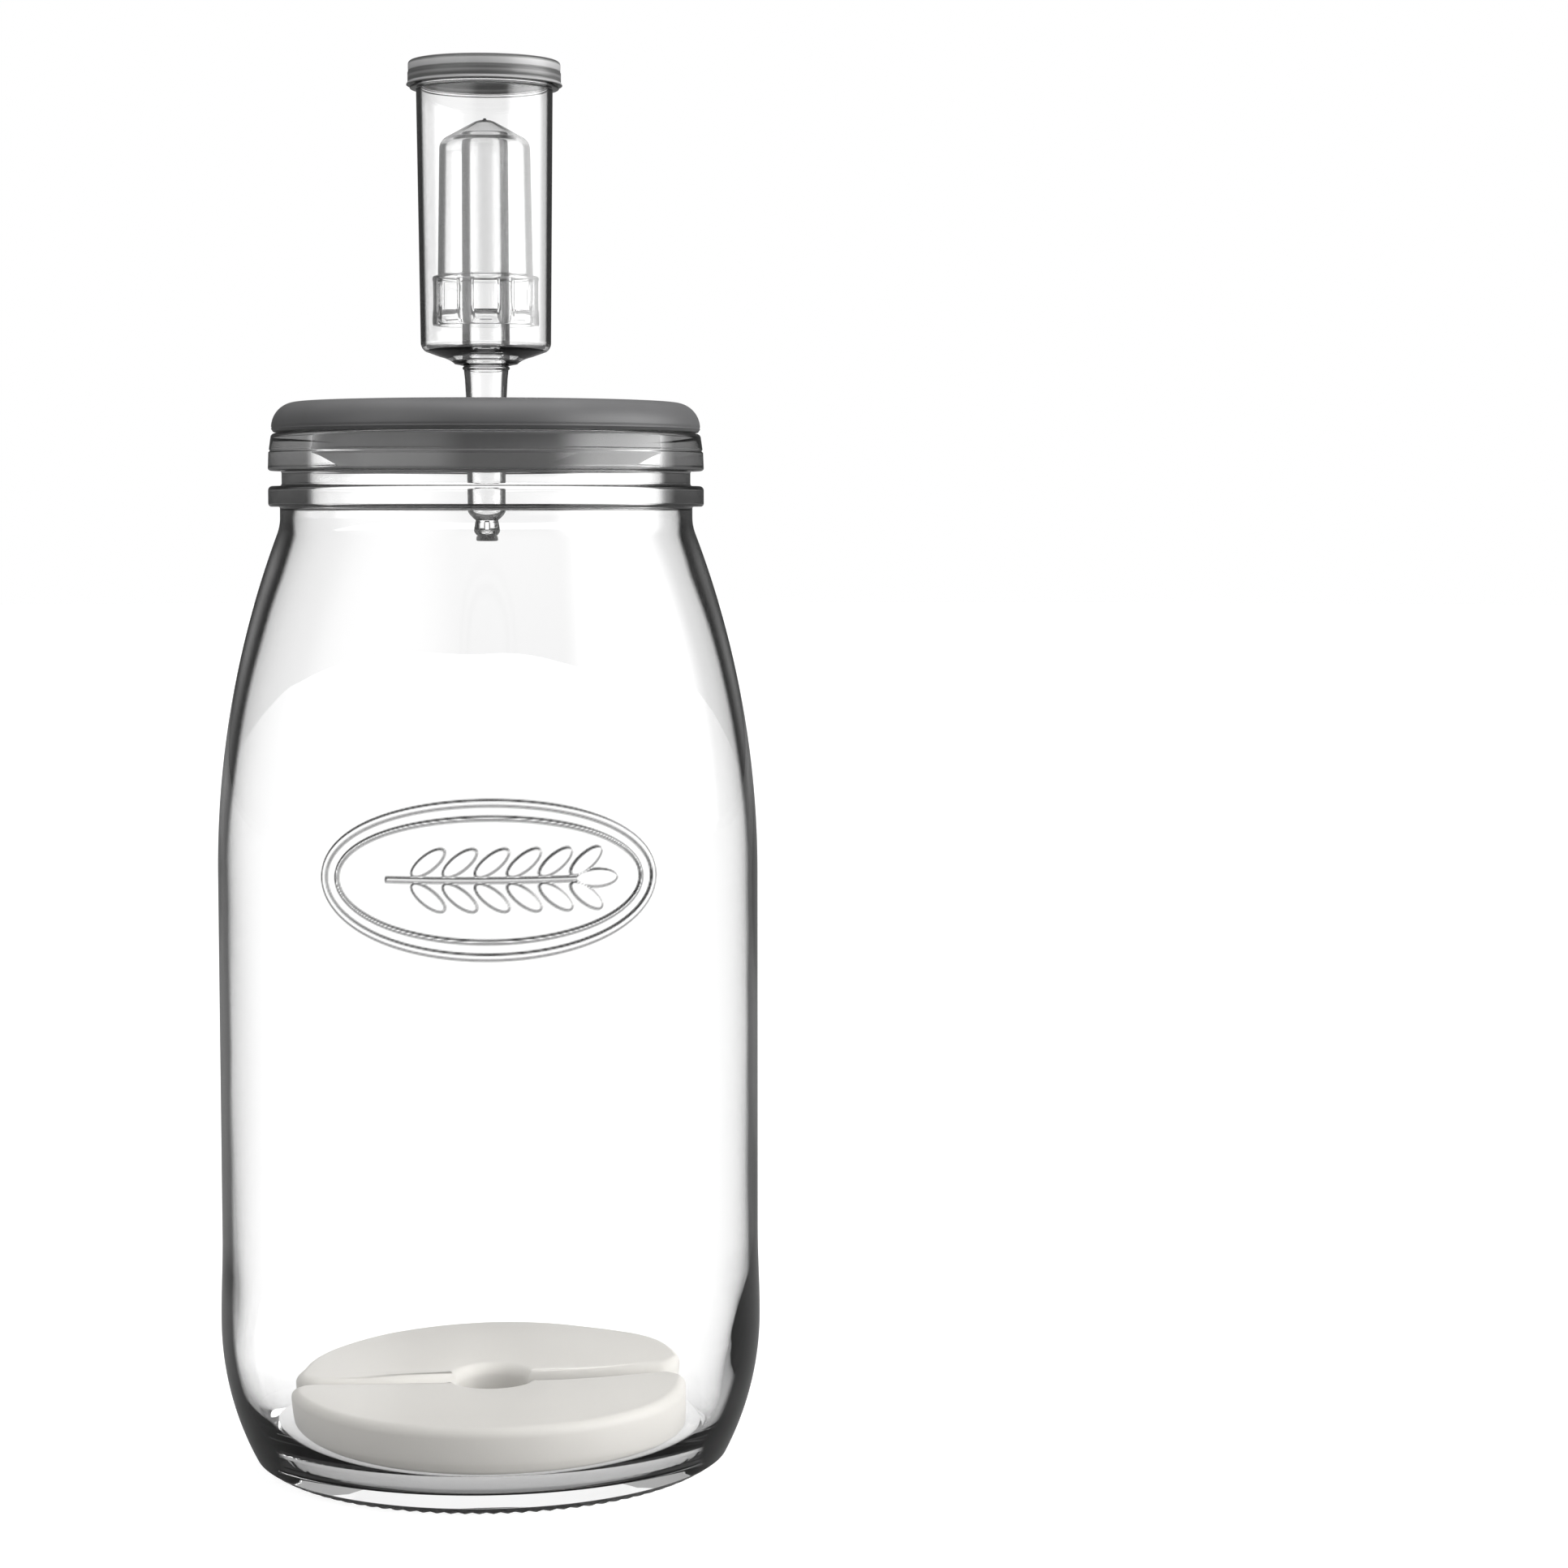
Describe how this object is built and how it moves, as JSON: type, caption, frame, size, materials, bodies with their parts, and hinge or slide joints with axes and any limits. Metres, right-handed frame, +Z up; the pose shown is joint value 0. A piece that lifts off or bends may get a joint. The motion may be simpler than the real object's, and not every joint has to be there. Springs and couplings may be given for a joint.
{
  "type": "fermentation jar with airlock",
  "caption": "Clear glass fermentation jar with a soft plug lid, a clear bell airlock with a push-fit cap, and half-round ceramic weights lying inside on its floor.",
  "frame": {"origin": "centre of the jar's base, on the surface it stands on", "axes": "+Z up along the axis of jar, lid and airlock; -Y towards the viewer of the picture; the gap between the two weights runs along X"},
  "size_m": [0.138, 0.138, 0.3564],
  "materials": {
    "clear_glass": "clear, polished, slightly wavy",
    "grey_silicone": "satin moulded silicone",
    "clear_plastic": "clear, polished",
    "grey_plastic": "soft gloss, slightly cloudy",
    "glazed_stone": "off-white, smooth glaze"
  },
  "bodies": {
    "jar": {"glass_jar": "clear_glass"},
    "lid": {"silicone_lid": "grey_silicone"},
    "airlock": {"airlock_cup": "clear_plastic"},
    "bell": {"airlock_bell": "clear_plastic"},
    "cap": {"airlock_cap": "grey_plastic"},
    "rear_weight": {"weight_rear": "glazed_stone"},
    "front_weight": {"weight_front": "glazed_stone"}
  },
  "joints": [
    {"name": "lid_lift", "type": "slide", "parent": "jar", "child": "lid", "axis": [0, 0, 1], "range_m": [0, 0.12]},
    {"name": "airlock_pull", "type": "slide", "parent": "lid", "child": "airlock", "axis": [0, 0, 1], "range_m": [0, 0.05]},
    {"name": "bell_float", "type": "slide", "parent": "airlock", "child": "bell", "axis": [0, 0, 1], "range_m": [0, 0.0122]},
    {"name": "cap_lift", "type": "slide", "parent": "airlock", "child": "cap", "axis": [0, 0, 1], "range_m": [0, 0.03]},
    {"name": "rear_weight_rise", "type": "slide", "parent": "jar", "child": "rear_weight", "axis": [0, 0, 1], "range_m": [0, 0.185]},
    {"name": "front_weight_rise", "type": "slide", "parent": "jar", "child": "front_weight", "axis": [0, 0, 1], "range_m": [0, 0.185]}
  ]
}
